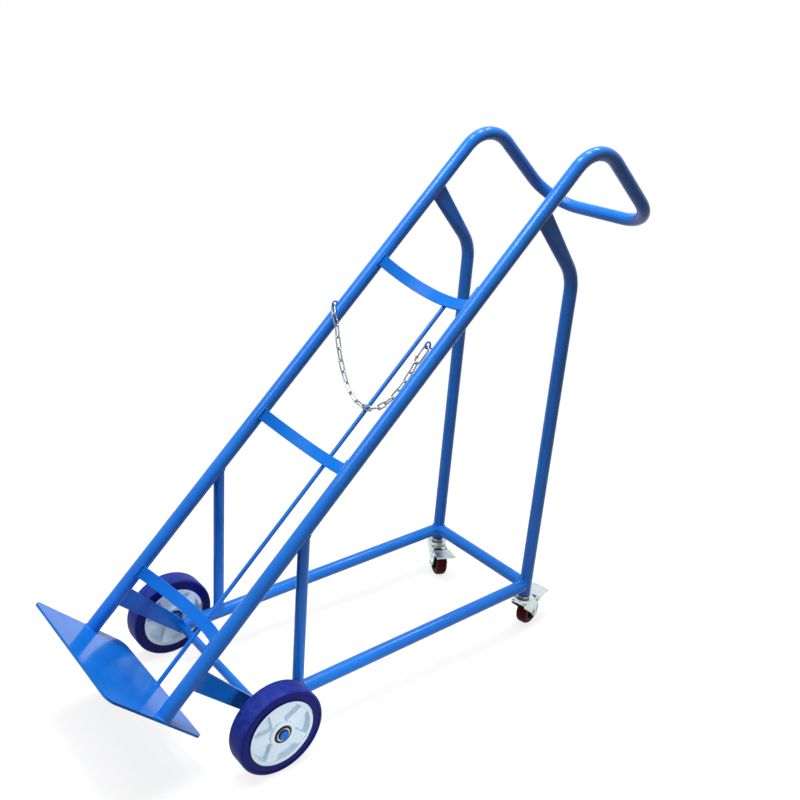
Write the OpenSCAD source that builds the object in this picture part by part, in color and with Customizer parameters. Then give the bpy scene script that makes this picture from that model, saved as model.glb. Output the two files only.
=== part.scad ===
// Gas cylinder trolley: two leaning rails with a looped handle, a toe plate,
// curved cradle straps, a pair of large wheels, two braked swivel casters
// and a restraint chain. Millimetres, +Z up, toe plate towards -Y.

/* [Frame] */
// Lean of the rails from upright while parked
lean = 44; // [42:0.5:46]
// Outside diameter of the frame tube
tube_d = 32; // [30:0.5:34]
// Wall of the frame tube
tube_wall = 2; // [1.5:0.1:3]
// Distance from the middle of the trolley to each rail
rail_x = 175; // [165:1:190]
// Rail length from the toe plate to the corner where it turns back
rail_len = 1517; // [1480:1:1600]
// Turn at the top of each rail
top_turn = 85; // [80:0.5:90]
// Length from the top corner back to the handle bar
return_len = 335; // [310:1:380]
// Centre-line radius of every tube bend
bend_r = 100; // [80:1:105]
// Gap left at every welded seam
weld_gap = 0.15; // [0.1:0.05:0.3]

/* [Cradle] */
// Thickness of the toe plate
plate_t = 5; // [4:0.5:8]
// Width of the toe plate
plate_w = 380; // [370:1:400]
// Reach of the toe plate in front of the rails
plate_front = 155; // [120:1:180]
// Reach of the toe plate behind the rails
plate_back = 110; // [106:1:125]
// Corner radius of the toe plate
plate_corner_r = 20; // [5:1:40]
// Height of the lower strap along the rails
lower_strap_r = 163; // [150:1:200]
// Height of the middle strap along the rails
middle_strap_r = 605; // [560:1:650]
// Height of the upper strap along the rails
upper_strap_r = 1065; // [1020:1:1090]
// Width of a strap
strap_w = 28; // [22:1:34]
// Thickness of a strap
strap_t = 5; // [3:0.5:6]
// Set-back of the strap ends from the middle of the rails
strap_end_w = 4; // [2:0.5:8]
// Distance of the rod behind the rails
rod_w = 97; // [92:1:100]
// Diameter of the centre rod
rod_d = 10; // [8:0.5:12]

/* [Base] */
// Distance of the axle behind the rails
axle_w = 212; // [205:1:220]
// Diameter of the axle bar
axle_d = 20; // [20:0.5:20.5]
// Thickness of an axle arm plate
arm_t = 6; // [4:0.5:10]
// Width of an axle arm at the rail
arm_root = 46; // [40:1:54]
// Radius of the axle arm round the axle
arm_eye_r = 15; // [14:0.5:15.5]
// Distance of the front struts behind the axle
strut_y = 96; // [80:1:120]
// Diameter of a front strut
strut_d = 25; // [22:0.5:28]
// Wall of a front strut
strut_wall = 1.5; // [1.2:0.1:2.5]
// Height of the base tubes at the axle
base_front_z = 104; // [102:0.5:106]
// Height of the base tubes at the rear legs
base_rear_z = 130; // [125:1:145]
// Distance of the rear legs behind the axle
leg_y = 812; // [790:1:830]
// Height of the bend in the rear legs
leg_bend_z = 961; // [930:1:985]
// Height along the rails where the rear legs meet them
leg_joint_r = 1295; // [1270:1:1310]
// Thickness of a rear leg where it is flattened against the rail
flat_t = 8; // [7:0.5:12]
// Insertion depth of a leg plug
plug_len = 40; // [34:1:60]
// Rim of a leg plug under the tube
plug_rim = 4; // [2:0.5:6]

/* [Main wheels] */
// Diameter of a main wheel
wheel_d = 200; // [196:1:206]
// Tread width of a main wheel
wheel_w = 50; // [47:1:54]
// Distance from the rail to the middle of the wheel
wheel_offset = 68; // [66:0.5:74]
// Diameter of the moulded hub
hub_d = 152; // [144:1:160]
// Thickness of the hub rim
rim_t = 9; // [6:0.5:12]
// Width of the hub rim
rim_w = 46; // [40:1:46.5]
// Thickness of the hub web
web_t = 16; // [5:0.5:24]
// Number of spokes
spoke_n = 5; // [4:1:7]
// Width of a spoke
spoke_w = 31; // [16:1:34]
// Thickness of the spokes along the axle
spoke_t = 40; // [20:1:42]
// Turn of the first spoke
spoke_phase = 52; // [0:1:72]
// Diameter of the hub boss
boss_d = 58; // [54:1:66]
// Length of the hub boss
boss_len = 52; // [50:0.5:54]
// Edge radius of the tyre
tyre_edge_r = 7; // [3:0.5:10]
// Depth of the side channel of the tyre
tyre_channel = 1.5; // [0.5:0.25:3]
// Outside diameter of a ball bearing
bearing_d = 42; // [41.5:0.5:44]
// Width of a ball bearing
bearing_w = 12; // [10:0.5:14]
// Diameter of a bearing ball
ball_d = 6; // [5.5:0.25:6.5]
// Balls in a bearing
ball_n = 9; // [6:1:10]
// Outside diameter of the thrust washers
washer_d = 30; // [28:1:36]
// Thickness of a thrust washer
washer_t = 2; // [1.5:0.25:2.5]
// Length of an axle collar
collar_len = 8; // [5:0.5:12]
// Thickness of a circlip
circlip_t = 1.2; // [1:0.1:1.6]
// Axle left beyond the circlip
axle_tail = 3; // [2:0.5:8]

/* [Casters] */
// Height of a caster
caster_h = 100; // [99:0.5:104]
// Diameter of a caster wheel
caster_d = 75; // [73:0.5:75.5]
// Tread width of a caster wheel
caster_w = 30; // [26:0.5:32]
// Trail of a caster wheel behind its stem
caster_trail = 32; // [30:0.5:33]
// Diameter of a caster hub
caster_hub_d = 50; // [42:1:56]
// Inside width of the fork
fork_in = 38; // [36:0.5:41]
// Plate thickness of the fork
fork_t = 3; // [2.5:0.25:3.5]
// Diameter of the caster axle bolt
bolt_d = 8; // [6:0.5:10]
// Diameter of the stem in the leg
stem_d = 12; // [10:0.5:14]
// Diameter of the king pin
king_d = 10; // [8:0.5:11]
// Diameter of a swivel ball
swivel_ball_d = 5; // [4.5:0.25:5.25]
// Radius of the ring of swivel balls
swivel_ring_r = 17; // [16:0.25:18]
// Diameter of the swivel head
head_d = 53; // [50:0.5:55]
// Heading of the left caster
left_turn = 12; // [-60:1:60]
// Heading of the right caster
right_turn = -114; // [-160:1:-60]
// Distance of the pedal rivets behind the stem
pedal_y = 40; // [39:0.5:41]
// Height of the pedal rivets
pedal_z = 74; // [73.5:0.5:75]
// Tilt of a pedal with the brake on
pedal_tilt = 4; // [4:0.5:10]
// Length of a pedal
pedal_len = 54; // [46:1:58]
// Flare of a pedal on each side
pedal_flare = 3; // [0:0.5:6]
// Plate thickness of a pedal
pedal_t = 2; // [1.5:0.25:2.5]
// Diameter of a pedal rivet
rivet_d = 5; // [4:0.5:6]

/* [Chain] */
// Height of the chain eyes along the rails
eye_r = 912; // [880:1:940]
// Diameter of the eye rings at the middle of the wire
eye_ring_d = 14; // [13:0.5:16]
// Wire of an eye ring
eye_wire = 4; // [3:0.25:5]
// Inside length of a link
link_pitch = 27.5; // [27:0.25:29]
// Wire of a link
link_wire = 3.5; // [3:0.1:3.8]
// Outside width of a link
link_w = 14; // [13:0.5:15]
// Links hanging between the rails
link_n = 16; // [14:2:16]
// Play between linked wires
link_play = 0.6; // [0.5:0.05:0.8]
// Turn of the first link across the rail
first_link_turn = 40; // [38:0.5:43]
// Roll of the first link round the rail
first_link_roll = 12; // [8:1:14]
// Extra length of the two links at the shoulder of the rail
corner_play = 0.4; // [0.3:0.05:0.6]
// Wire of the snap hook
hook_wire = 4; // [3.5:0.25:4.5]
// Outside width of the snap hook
hook_w = 20; // [18:0.5:22]
// Diameter of the gate bar
gate_d = 3.2; // [2.5:0.1:3.5]
// Diameter of the gate pin
gate_pin_d = 1.6; // [1.2:0.1:1.8]

/* [Fits] */
// Radial clearance of a running fit
run_fit = 0.08; // [0.04:0.01:0.1]
// Gap between seated pieces
seat_gap = 0.2; // [0.1:0.05:0.3]

/* [Hidden] */
$fn = 48;
seam = 0.02;
paint = [0.12, 0.40, 0.86];
zinc = [0.78, 0.80, 0.80];
steel = [0.62, 0.63, 0.64];
black = [0.09, 0.09, 0.10];
indigo = [0.13, 0.13, 0.50];
pale = [0.80, 0.83, 0.86];
maroon = [0.20, 0.09, 0.10];

// Rail frame: x across, y = backwards from the rails, z = up along the rails
axle_z = wheel_d / 2;
axle_r = wheel_d / 2 - plate_t;
foot_y = -(axle_r * sin(lean) + axle_w * cos(lean));
foot_z = axle_z - axle_r * cos(lean) + axle_w * sin(lean);
bend_tan = bend_r * tan(top_turn / 2);
rail_run = rail_len - bend_tan;
return_run = return_len - bend_tan - bend_r;
handle_w = return_len * sin(top_turn);
handle_r = rail_len + return_len * cos(top_turn);
function rail_y(r, w) = foot_y + r * sin(lean) + w * cos(lean);
function rail_z(r, w) = foot_z + r * cos(lean) - w * sin(lean);

// Middle of the whole length, moved to y = 0
y_front = rail_y(-plate_t, -plate_front);
y_back = rail_y(handle_r, handle_w) + tube_d / 2;
y_mid = (y_front + y_back) / 2;

// Rear legs
leg_bottom = caster_h + plug_rim;
joint_y = rail_y(leg_joint_r, 0);
joint_z = rail_z(leg_joint_r, 0);
leg_turn = atan2(leg_y - joint_y, joint_z - leg_bend_z);
leg_tan = bend_r * tan(leg_turn / 2);
leg_run = leg_bend_z - leg_bottom - leg_tan;
stub_run = norm([leg_y - joint_y, joint_z - leg_bend_z]) - leg_tan;
flat_half = PI * (tube_d - flat_t) / 4;
base_slope = atan2(base_rear_z - base_front_z, leg_y);
base_len = leg_y / cos(base_slope);

// Straps
strap_chord = rail_x - tube_d / 2;
strap_depth = rod_w - rod_d / 2 - weld_gap - strap_end_w;
strap_out_r = (strap_chord * strap_chord + strap_depth * strap_depth) / (2 * strap_depth);
strap_half = asin(strap_chord / strap_out_r) + 3;

// Main wheel, measured outwards along the axle from its middle plane
wheel_x = rail_x + wheel_offset;
boss_half = boss_len / 2;
seat_in = boss_half - 0.5 - bearing_w;
ring_mid_r = (bearing_d + axle_d) / 4;
inner_ring_r = axle_d / 2 + 3.2;
outer_ring_r = bearing_d / 2 - 3.2;
washer_in = boss_half - 0.5 + seat_gap;
circlip_in = washer_in + washer_t + seat_gap;
axle_half = wheel_x + circlip_in + circlip_t + axle_tail;

// Caster stack, measured up from the floor
caster_r = caster_d / 2;
crown_top = caster_h - 17;
crown_low = crown_top - fork_t;
cup_top = crown_top + 3;
ball_z = cup_top + swivel_ball_d / 2 - 0.5;
cap_low = ball_z + swivel_ball_d / 2 - 0.5;
cap_top = caster_h - 6;
leg_out = fork_in / 2 + fork_t;
cup_d = head_d - 5;
crown_front = -head_d / 2 + 3;
crown_back = pedal_y - 10;
ear_in = leg_out + 0.5;
nut_top = crown_low - 0.4;

// Drop of the brake shoe, which ends just above the tread while the brake is on
shoe_y = 11.5;
shoe_gap = 0.25;
shoe_dy = pedal_y - caster_trail + shoe_y * cos(pedal_tilt);
shoe_dz = pedal_z - caster_r + shoe_y * sin(pedal_tilt);
shoe_b = shoe_dy * sin(pedal_tilt) - shoe_dz * cos(pedal_tilt);
shoe_c = shoe_dy * shoe_dy + shoe_dz * shoe_dz - pow(caster_r + shoe_gap, 2);
brake_drop = -shoe_b - sqrt(shoe_b * shoe_b - shoe_c);

// Chain, in the rail frame
eye_w = -(tube_d / 2 + 4);
eye_left = [rail_x - tube_d / 2 - 2, eye_w, eye_r];
eye_right = [-(rail_x + 3), eye_w, eye_r];
hang_x = rail_x - tube_d / 2 - 15;
hang_w = -4;
first_dir = [cos(first_link_turn), 0, -sin(first_link_turn)];
link_start = eye_right + [0, 0, -eye_ring_d / 2] - first_dir * (eye_wire + link_play) / 2;
shoulder = link_start + first_dir * link_pitch;
hang_dx = shoulder[0] + hang_x;
hang_dw = hang_w - shoulder[1];
hang_r = shoulder[2] - sqrt(pow(link_pitch, 2) - pow(hang_dx, 2) - pow(hang_dw, 2));
chain_len = link_n * link_pitch;
function sinh(u) = (exp(u) - exp(-u)) / 2;
function cosh(u) = (exp(u) + exp(-u)) / 2;
function asinh(u) = ln(u + sqrt(u * u + 1));
function slack(a) = 2 * a * sinh(hang_x / a) - chain_len;
function halve(lo, hi, n) = n == 0 ? (lo + hi) / 2
    : slack((lo + hi) / 2) > 0 ? halve((lo + hi) / 2, hi, n - 1) : halve(lo, (lo + hi) / 2, n - 1);
curve_a = halve(hang_x / 6, hang_x * 6, 40);
sag = curve_a * (cosh(hang_x / curve_a) - 1);
rest_w = rod_w - rod_d / 2 - link_w / 2 - 0.5;
hang_angle = asin((rest_w - hang_w) / sag);
hang_dir = [0, sin(hang_angle), -cos(hang_angle)];
hang_normal = [0, cos(hang_angle), sin(hang_angle)];
function fall(s) = sqrt(curve_a * curve_a + s * s) - curve_a;
function hang_point(s) = [curve_a * asinh(s / curve_a), hang_w, hang_r] + hang_dir * (sag - fall(s));
hook_low = hang_point(chain_len / 2);
hook_pull = unit([0, eye_left[1] - hook_low[1], eye_left[2] - hook_low[2]]);
hook_top = eye_left - hook_pull * eye_ring_d / 2;
hook_axis = unit(hook_top - hook_low);
hook_reach = norm(hook_top - hook_low) + (eye_wire + link_play) / 2;
hook_half = (hook_w - hook_wire) / 2;
hook_straight = round((hook_reach + hook_wire + link_play - 2 * hook_half) * 10) / 10;
gate_low = -hook_straight / 2 + 3.5;
gate_top = hook_straight / 2 - 5;
function unit(v) = v / norm(v);

// Frames of reference

module placed() {
    translate([0, -y_mid, 0]) children();
}

module rail_frame() {
    placed() translate([0, foot_y, foot_z]) rotate([-lean, 0, 0]) children();
}

module wheel_frame(side) {
    placed() translate([side * wheel_x, 0, axle_z]) rotate([0, 90 * side, 0]) children();
}

module caster_frame(side) {
    turn = side > 0 ? left_turn : right_turn;
    placed() translate([side * rail_x, leg_y, 0]) rotate([0, 0, turn]) children();
}

module pedal_frame() {
    translate([0, pedal_y, pedal_z]) rotate([pedal_tilt, 0, 0]) children();
}

// Local z runs from p to q and local x lies along the given side
module between(p, q, side) {
    c = unit(q - p);
    a = unit(side - c * (side * c));
    b = cross(c, a);
    m = (p + q) / 2;
    multmatrix([[a[0], b[0], c[0], m[0]], [a[1], b[1], c[1], m[1]], [a[2], b[2], c[2], m[2]], [0, 0, 0, 1]])
        children();
}

// Hollow tube pieces: heading +z, bends turn towards +y

module run(d, wall, h) {
    translate([0, 0, seam]) difference() {
        cylinder(d = d, h = h - 2 * seam);
        translate([0, 0, -1]) cylinder(d = d - 2 * wall, h = h + 2);
    }
}

module bend(d, wall, r, turn) {
    translate([0, r, 0]) rotate([90, 0, -90]) rotate_extrude(angle = turn) translate([r, 0]) difference() {
        circle(d = d);
        circle(d = d - 2 * wall);
    }
}

// Short ring inside the wall that joins a run to a bend
module bridge(d, wall) {
    translate([0, 0, -3]) difference() {
        cylinder(d = d - 0.8, h = 6);
        translate([0, 0, -1]) cylinder(d = d - 2 * wall + 0.8, h = 8);
    }
}

module after_bend(r, turn) {
    translate([0, r * (1 - cos(turn)), r * sin(turn)]) rotate([-turn, 0, 0]) children();
}

module rail_and_return() {
    translate([0, 0, -seam]) run(tube_d, tube_wall, rail_run + seam);
    translate([0, 0, rail_run]) {
        bridge(tube_d, tube_wall);
        bend(tube_d, tube_wall, bend_r, top_turn);
        after_bend(bend_r, top_turn) {
            bridge(tube_d, tube_wall);
            run(tube_d, tube_wall, return_run);
            translate([0, 0, return_run]) {
                bridge(tube_d, tube_wall);
                rotate([0, 0, 90]) bend(tube_d, tube_wall, bend_r, 90);
            }
        }
    }
}

module handle_bar() {
    half = rail_x - bend_r;
    translate([-half, handle_w, handle_r]) rotate([0, 90, 0]) {
        run(tube_d, tube_wall, 2 * half);
        bridge(tube_d, tube_wall);
        translate([0, 0, 2 * half]) bridge(tube_d, tube_wall);
    }
}

module rail_bars(d) {
    for (side = [-1, 1]) translate([side * rail_x, 0, 0]) cylinder(d = d, h = rail_run);
}

// Round at the bend, then flattened at the same girth
module flat_form(d, t, low, high) {
    hull() {
        translate([0, 0, low]) cylinder(d = d, h = 0.5);
        for (s = [-1, 1]) translate([0, s * flat_half, high - 20]) cylinder(d = t, h = 20);
    }
}

module flat_end(h) {
    difference() {
        flat_form(tube_d, flat_t, seam, h);
        flat_form(tube_d - 2 * tube_wall, flat_t - 2 * tube_wall, -1, h + 1);
    }
}

module leg_path(side) {
    translate([side * rail_x, leg_y, leg_bottom]) rotate([0, 0, 180]) {
        translate([0, 0, -seam]) run(tube_d, tube_wall, leg_run + seam);
        translate([0, 0, leg_run]) {
            bridge(tube_d, tube_wall);
            bend(tube_d, tube_wall, bend_r, leg_turn);
            after_bend(bend_r, leg_turn) {
                bridge(tube_d, tube_wall);
                flat_end(stub_run);
            }
        }
    }
}

module leg_bar(side, d) {
    translate([side * rail_x, leg_y, leg_bottom]) cylinder(d = d, h = leg_run);
}

module base_bar(side, d, start) {
    translate([side * rail_x, 0, base_front_z]) rotate([base_slope - 90, 0, 0])
        translate([0, 0, start]) cylinder(d = d, h = base_len - start);
}

module cross_bar(d) {
    translate([0, leg_y, base_rear_z]) rotate([0, 90, 0]) cylinder(d = d, h = 2 * rail_x, center = true);
}

module axle_line(d) {
    translate([0, 0, axle_z]) rotate([0, 90, 0]) cylinder(d = d, h = 2 * axle_half, center = true);
}

module local_rail() {
    translate([0, foot_y, foot_z]) rotate([-lean, 0, 0]) children();
}

// Frame

module frame_tube() {
    color(paint) rail_frame() {
        for (side = [0, 1]) mirror([side, 0, 0]) translate([rail_x, 0, 0]) rail_and_return();
        handle_bar();
    }
}

module toe_plate() {
    half = plate_w / 2;
    r = plate_corner_r;
    color(paint) rail_frame() translate([0, 0, -plate_t]) linear_extrude(plate_t) {
        translate([-half + r, -plate_front]) square([plate_w - 2 * r, plate_front + plate_back]);
        translate([-half, -plate_front + r]) square([plate_w, plate_front + plate_back - 2 * r]);
        for (x = [-half + r, half - r], y = [-plate_front + r, plate_back - r]) translate([x, y]) circle(r);
    }
}

module strap(height) {
    mid_w = rod_w - rod_d / 2 - weld_gap - strap_out_r;
    color(paint) rail_frame() difference() {
        translate([0, mid_w, height - strap_w / 2]) rotate([0, 0, 90 - strap_half])
            rotate_extrude(angle = 2 * strap_half, $fn = 96)
                translate([strap_out_r - strap_t, 0]) square([strap_t, strap_w]);
        rail_bars(tube_d + 2 * weld_gap);
        for (side = [-1, 1]) translate([side * (rail_x + 50), 0, height]) cube([100, 200, 100], center = true);
    }
}

module upper_strap() strap(upper_strap_r);

module middle_strap() strap(middle_strap_r);

module lower_strap() strap(lower_strap_r);

module centre_rod() {
    color(paint) rail_frame() translate([0, rod_w, 0]) cylinder(d = rod_d, h = upper_strap_r + strap_w / 2 - 2);
}

// Plate outline in the rail frame, thickness across x
module arm_solid(side, t) {
    local_rail() translate([side * rail_x - t / 2, 0, 0]) rotate([90, 0, 90]) linear_extrude(t) {
        polygon([[0, axle_r + arm_root / 2], [0, axle_r - arm_root / 2],
            [axle_w, axle_r - arm_eye_r], [axle_w, axle_r + arm_eye_r]]);
        translate([axle_w, axle_r]) circle(arm_eye_r);
    }
}

module axle_arm(side) {
    color(paint) placed() difference() {
        arm_solid(side, arm_t);
        local_rail() rail_bars(tube_d + 2 * weld_gap);
        axle_line(axle_d + 2 * weld_gap);
    }
}

module left_axle_arm() axle_arm(1);

module right_axle_arm() axle_arm(-1);

module axle_bar() {
    groove = wheel_x + circlip_in;
    color(paint) placed() difference() {
        axle_line(axle_d);
        for (side = [-1, 1]) translate([side * groove - (side < 0 ? circlip_t : 0), 0, axle_z])
            rotate([0, 90, 0]) difference() {
                cylinder(d = axle_d + 2, h = circlip_t);
                translate([0, 0, -1]) cylinder(d = axle_d - 2, h = circlip_t + 2);
            }
    }
}

module front_strut(side) {
    top = rail_z((strut_y - foot_y) / sin(lean), 0);
    low = base_front_z + strut_y * tan(base_slope);
    color(paint) placed() difference() {
        translate([side * rail_x, strut_y, low]) difference() {
            cylinder(d = strut_d, h = top - low);
            translate([0, 0, -1]) cylinder(d = strut_d - 2 * strut_wall, h = top - low + 2);
        }
        local_rail() rail_bars(tube_d + 2 * weld_gap);
        base_bar(side, tube_d + 2 * weld_gap, 0);
    }
}

module left_front_strut() front_strut(1);

module right_front_strut() front_strut(-1);

module base_tube(side) {
    color(paint) placed() difference() {
        base_bar(side, tube_d, 0);
        base_bar(side, tube_d - 2 * tube_wall, -1);
        leg_bar(side, tube_d + 2 * weld_gap);
        cross_bar(tube_d + 2 * weld_gap);
        axle_line(axle_d + 2 * weld_gap);
        arm_solid(side, arm_t + 2 * weld_gap);
    }
}

module left_base_tube() base_tube(1);

module right_base_tube() base_tube(-1);

module rear_cross_tube() {
    color(paint) placed() difference() {
        cross_bar(tube_d);
        translate([0, leg_y, base_rear_z]) rotate([0, 90, 0])
            cylinder(d = tube_d - 2 * tube_wall, h = 2 * rail_x + 2, center = true);
        for (side = [-1, 1]) leg_bar(side, tube_d + 2 * weld_gap);
    }
}

module rear_leg(side) {
    color(paint) placed() difference() {
        leg_path(side);
        local_rail() rail_bars(tube_d + 2 * weld_gap);
    }
}

module left_rear_leg() rear_leg(1);

module right_rear_leg() rear_leg(-1);

module leg_plug(side) {
    color(black) placed() translate([side * rail_x, leg_y, caster_h]) difference() {
        union() {
            cylinder(d = tube_d, h = plug_rim);
            cylinder(d = tube_d - 2 * tube_wall - 2 * weld_gap, h = plug_rim + plug_len);
        }
        translate([0, 0, -1]) cylinder(d = stem_d + 2 * weld_gap, h = plug_rim + plug_len + 2);
    }
}

module left_leg_plug() leg_plug(1);

module right_leg_plug() leg_plug(-1);

// Main wheels

module ring(d_out, d_in, h) {
    difference() {
        cylinder(d = d_out, h = h);
        translate([0, 0, -1]) cylinder(d = d_in, h = h + 2);
    }
}

module axle_collars() {
    color(paint) for (side = [-1, 1]) wheel_frame(side)
        translate([0, 0, -washer_in - washer_t - seat_gap - collar_len])
            ring(washer_d, axle_d + 2 * weld_gap, collar_len);
}

module axle_washers() {
    color(zinc) for (side = [-1, 1]) wheel_frame(side) {
        translate([0, 0, washer_in]) ring(washer_d, axle_d + 2 * weld_gap, washer_t);
        translate([0, 0, -washer_in - washer_t]) ring(washer_d, axle_d + 2 * weld_gap, washer_t);
    }
}

module axle_circlips() {
    color(black) for (side = [-1, 1]) wheel_frame(side) translate([0, 0, circlip_in + 0.05]) difference() {
        ring(axle_d + 5, axle_d - 1.8, circlip_t - 0.1);
        translate([0, -1.5, -1]) cube([axle_d, 3, circlip_t + 2]);
    }
}

module wheel_tyre(side) {
    e = tyre_edge_r;
    r = wheel_d / 2;
    inner = hub_d / 2 + 0.1;
    color(indigo) wheel_frame(side) rotate_extrude($fn = 96) difference() {
        union() {
            translate([inner, -wheel_w / 2]) square([r - e - inner, wheel_w]);
            translate([inner, -wheel_w / 2 + e]) square([r - inner, wheel_w - 2 * e]);
            for (z = [-1, 1]) translate([r - e, z * (wheel_w / 2 - e)]) circle(e);
        }
        for (z = [-1, 1]) translate([inner + 3, z * wheel_w / 2 - tyre_channel])
            square([r - e - inner - 5, 2 * tyre_channel]);
    }
}

module wheel_hub(side) {
    rim_r = hub_d / 2;
    in_r = rim_r - rim_t;
    bore = outer_ring_r;
    color(pale) wheel_frame(side) difference() {
        union() {
            rotate_extrude($fn = 96) polygon([
                [bore, -boss_half], [boss_d / 2 - 1, -boss_half], [boss_d / 2, -boss_half + 1],
                [boss_d / 2 + 1, -web_t / 2], [in_r - 1, -web_t / 2], [in_r + 1, -rim_w / 2],
                [rim_r, -rim_w / 2], [rim_r, rim_w / 2], [in_r + 1, rim_w / 2], [in_r - 1, web_t / 2],
                [boss_d / 2 + 1, web_t / 2], [boss_d / 2, boss_half - 1], [boss_d / 2 - 1, boss_half],
                [bore, boss_half]]);
            for (k = [0 : spoke_n - 1]) rotate([0, 0, spoke_phase + k * 360 / spoke_n])
                translate([0, 0, -spoke_t / 2]) linear_extrude(spoke_t) polygon([
                    [boss_d / 2 - 4, -spoke_w / 2], [rim_r - rim_t / 2, -spoke_w / 2 + 3],
                    [rim_r - rim_t / 2, spoke_w / 2 - 3], [boss_d / 2 - 4, spoke_w / 2]]);
        }
        for (z = [seat_in, -boss_half - 1]) translate([0, 0, z])
            cylinder(d = bearing_d + 0.04, h = boss_half - seat_in + 1);
    }
}

module bearing_outer_rings(side) {
    lip = inner_ring_r + 0.4;
    color(black) wheel_frame(side) for (z = [seat_in, -seat_in - bearing_w]) translate([0, 0, z])
        rotate_extrude() difference() {
            union() {
                translate([outer_ring_r, 0]) square([bearing_d / 2 - outer_ring_r, bearing_w]);
                for (y = [0.3, bearing_w - 1]) translate([lip, y]) square([outer_ring_r - lip + 1, 0.7]);
            }
            translate([ring_mid_r, bearing_w / 2]) circle(d = ball_d + 0.2);
        }
}

module bearing_inner_rings(side) {
    color(steel) wheel_frame(side) for (z = [seat_in, -seat_in - bearing_w]) translate([0, 0, z])
        rotate_extrude() difference() {
            translate([axle_d / 2 + weld_gap, 0]) square([inner_ring_r - axle_d / 2 - weld_gap, bearing_w]);
            translate([ring_mid_r, bearing_w / 2]) circle(d = ball_d + 0.2);
        }
}

module bearing_balls(side) {
    color(steel) wheel_frame(side) for (z = [-1, 1], k = [0 : ball_n - 1])
        rotate([0, 0, k * 360 / ball_n]) translate([ring_mid_r, 0, z * (seat_in + bearing_w / 2)])
            sphere(d = ball_d);
}

module bearing_spacer(side) {
    color(steel) wheel_frame(side) translate([0, 0, -seat_in + 0.1])
        ring(2 * inner_ring_r, axle_d + 2 * weld_gap, 2 * seat_in - 0.2);
}

module left_wheel_tyre() wheel_tyre(1);

module left_wheel_hub() wheel_hub(1);

module left_bearing_outer_rings() bearing_outer_rings(1);

module left_bearing_balls() bearing_balls(1);

module left_bearing_inner_rings() bearing_inner_rings(1);

module left_bearing_spacer() bearing_spacer(1);

module right_wheel_tyre() wheel_tyre(-1);

module right_wheel_hub() wheel_hub(-1);

module right_bearing_outer_rings() bearing_outer_rings(-1);

module right_bearing_balls() bearing_balls(-1);

module right_bearing_inner_rings() bearing_inner_rings(-1);

module right_bearing_spacer() bearing_spacer(-1);

// Casters

module caster_stem(side) {
    color(zinc) caster_frame(side) union() {
        rotate_extrude() difference() {
            union() {
                translate([0, cap_low]) square([head_d / 2 - 0.5, cap_top - cap_low]);
                translate([head_d / 2 - 1.9, cup_top - 1.5]) square([1.9, cap_top - cup_top + 1]);
            }
            translate([swivel_ring_r, ball_z]) circle(d = swivel_ball_d + 0.2);
        }
        translate([0, 0, cap_top]) cylinder(d = 25, h = caster_h - cap_top, $fn = 6);
        translate([0, 0, caster_h]) cylinder(d = stem_d, h = plug_rim + plug_len - 4);
        translate([0, 0, nut_top - 6]) cylinder(d = king_d, h = cap_low - nut_top + 6);
    }
}

module king_nut(side) {
    color(zinc) caster_frame(side) translate([0, 0, nut_top - 5]) difference() {
        cylinder(d = 18.5, h = 5, $fn = 6);
        translate([0, 0, -1]) cylinder(d = king_d + 2 * weld_gap, h = 7);
    }
}

module swivel_balls(side) {
    color(steel) caster_frame(side) for (k = [0 : 11]) rotate([0, 0, k * 30])
        translate([swivel_ring_r, 0, ball_z]) sphere(d = swivel_ball_d);
}

module caster_fork(side) {
    r = bolt_d / 2 + 5.5;
    y = caster_trail;
    z = caster_r;
    color(zinc) caster_frame(side) difference() {
        union() {
            translate([-leg_out, crown_front, crown_low]) cube([2 * leg_out, crown_back - crown_front, fork_t]);
            for (s = [-1, 1]) translate([s * (leg_out - fork_t / 2) - fork_t / 2, 0, 0]) rotate([90, 0, 90])
                linear_extrude(fork_t) {
                    polygon([[crown_front, crown_top], [crown_front, crown_top - 9], [y - r, z], [y + r, z],
                        [pedal_y + 6, pedal_z - 5], [pedal_y + 6, pedal_z + 3], [crown_back, crown_top]]);
                    translate([y, z]) circle(r);
                }
            translate([0, 0, crown_top - 0.5]) cylinder(d = cup_d, h = cup_top - crown_top + 0.5);
        }
        rotate_extrude() translate([swivel_ring_r, ball_z]) circle(d = swivel_ball_d + 0.2);
        translate([0, 0, crown_low - 1]) cylinder(d = king_d + 2 * run_fit, h = 20);
        translate([0, y, z]) rotate([0, 90, 0]) cylinder(d = bolt_d + 2 * weld_gap, h = 60, center = true);
        translate([0, pedal_y, pedal_z]) rotate([0, 90, 0])
            cylinder(d = rivet_d + 2 * weld_gap, h = 60, center = true);
    }
}

module caster_bolt(side) {
    len = 2 * leg_out + 10;
    color(zinc) caster_frame(side) translate([0, caster_trail, caster_r]) rotate([0, 90, 0]) {
        translate([0, 0, -leg_out - 5]) cylinder(d = bolt_d, h = len);
        translate([0, 0, leg_out + 0.2]) cylinder(d = bolt_d * 1.85, h = 5.2, $fn = 6);
        translate([0, 0, -leg_out - 4.4]) cylinder(d = bolt_d * 1.85, h = 4.2, $fn = 6);
    }
}

module caster_tread(side) {
    r = caster_r;
    inner = caster_hub_d / 2 + 0.1;
    e = 9;
    color(maroon) caster_frame(side) translate([0, caster_trail, r]) rotate([0, 90, 0])
        rotate_extrude($fn = 72) difference() {
            union() {
                translate([inner, -caster_w / 2]) square([r - e - inner, caster_w]);
                translate([inner, -caster_w / 2 + e]) square([r - inner, caster_w - 2 * e]);
                for (z = [-1, 1]) translate([r - e, z * (caster_w / 2 - e)]) circle(e);
            }
            translate([0, -caster_w]) square([inner, 2 * caster_w]);
        }
}

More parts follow.
